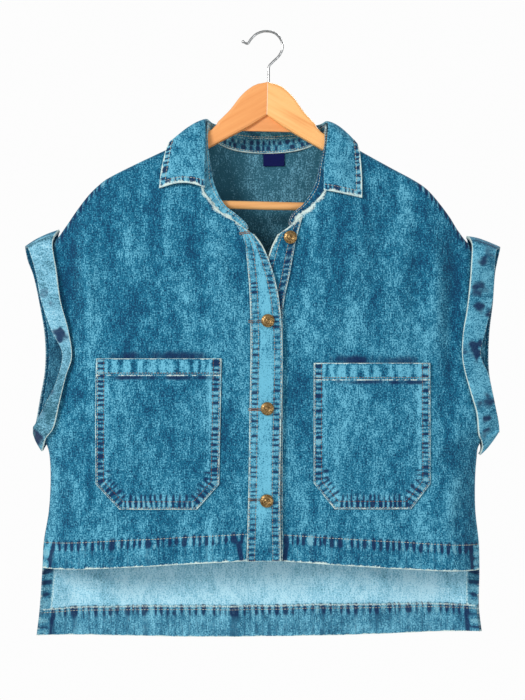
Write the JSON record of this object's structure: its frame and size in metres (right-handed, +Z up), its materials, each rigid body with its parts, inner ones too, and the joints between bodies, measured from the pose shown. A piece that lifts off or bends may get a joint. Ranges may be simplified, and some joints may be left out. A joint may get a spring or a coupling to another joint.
{
  "type": "denim vest on a wooden hanger",
  "caption": "Cropped, boxy denim vest with a spread collar, buttoned placket, patch pockets and turned-up sleeve bands, hung on a wooden hanger with a wire hook.",
  "frame": {"origin": "inside top of the hook's bend, where a rail carries it", "axes": "+Z up, the front of the vest towards -Y, the wearer's left towards +X"},
  "size_m": [0.5435, 0.0834, 0.6952],
  "materials": {
    "denim": "stone-washed denim, right side",
    "denim_wrong_side": "pale wrong side of the denim, shown on the back and the turned-up bands",
    "label_cloth": "woven, bare",
    "button_metal": "antique",
    "hanger_wood": "clear varnish",
    "hook_wire": "polished"
  },
  "bodies": {
    "root": {"back_panel": "denim_wrong_side", "front_right": "denim", "front_left": "denim", "placket_right": "denim", "placket_left": "denim", "collar_stand": "denim", "collar_leaf": "denim", "cuff_right": "denim_wrong_side", "cuff_left": "denim_wrong_side", "pocket_right": "denim", "pocket_left": "denim", "neck_label": "label_cloth", "button_1": "button_metal", "button_2": "button_metal", "button_3": "button_metal", "button_top": "button_metal", "hanger_arm_right": "hanger_wood", "hanger_arm_left": "hanger_wood", "hanger_block": "hanger_wood", "hanger_bar": "hanger_wood", "hanger_hook": "hook_wire"}
  },
  "joints": []
}
